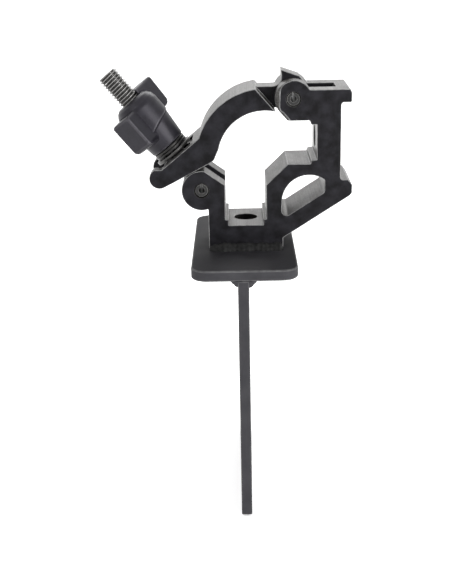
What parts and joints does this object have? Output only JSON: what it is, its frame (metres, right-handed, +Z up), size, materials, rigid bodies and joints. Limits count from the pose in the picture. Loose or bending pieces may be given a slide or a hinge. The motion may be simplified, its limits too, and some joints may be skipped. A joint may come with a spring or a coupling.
{
  "type": "pipe clamp",
  "caption": "Swing-bolt pipe clamp of black extruded aluminium with a two-lug nut, welded to a flat plate with a long blade hanging edge-on below it.",
  "frame": {"origin": "on the axis of the 51 mm tube that the clamp grips, halfway across the clamp's width", "axes": "+X towards the hinge post, +Y along the tube, across the clamp's width, +Z up, away from the plate"},
  "size_m": [0.1372, 0.117, 0.2454],
  "materials": {
    "anodised_aluminium": "satin black anodised extrusion with saw-cut front and rear faces",
    "blackened_steel": "blackened steel, bright on the thread crests",
    "black_cast_nut": "smooth black coating on a cast nut",
    "black_powder_coat": "fine-textured black powder coat on steel",
    "weld_bead": "rippled weld bead under black coat"
  },
  "bodies": {
    "frame": {"clamp_body": "anodised_aluminium", "hinge_pin": "blackened_steel", "mount_plate": "black_powder_coat", "hanging_blade": "black_powder_coat", "front_weld": "weld_bead", "rear_weld": "weld_bead", "left_weld": "weld_bead", "right_weld": "weld_bead"},
    "arm": {"clamp_arm": "anodised_aluminium"},
    "turning_pin": {"bolt_pin": "blackened_steel"},
    "swing_bolt": {"eye_bolt": "blackened_steel"},
    "washers": {"saddle_washer": "blackened_steel", "lower_washer": "blackened_steel", "upper_washer": "blackened_steel"},
    "nut": {"wing_nut": "black_cast_nut"}
  },
  "joints": [
    {"name": "bolt_lean", "type": "hinge", "parent": "frame", "child": "turning_pin", "pos_m": [-0.0235, 0, -0.0266], "axis": [0, 1, 0], "range_deg": [0, 14.7]},
    {"name": "arm_hinge", "type": "hinge", "parent": "frame", "child": "arm", "pos_m": [0.0269, 0, 0.0224], "axis": [0, 1, 0], "range_deg": [0, 23.7]},
    {"name": "bolt_swing", "type": "hinge", "parent": "turning_pin", "child": "swing_bolt", "pos_m": [-0.0235, 0, -0.0266], "axis": [0, -1, 0], "range_deg": [0, 95]},
    {"name": "nut_travel", "type": "slide", "parent": "swing_bolt", "child": "washers", "axis": [-0.6361, 0, 0.7716], "range_m": [0, 0.0288]},
    {"name": "nut_spin", "type": "hinge", "parent": "washers", "child": "nut", "pos_m": [-0.0235, 0, -0.0266], "axis": [-0.6361, 0, 0.7716], "continuous": true}
  ],
  "couplings": [
    {"joint": "bolt_lean", "follows": "arm_hinge", "ratio": 0.616},
    {"joint": "nut_travel", "follows": "arm_hinge", "m_per_rad": 0.0694}
  ]
}
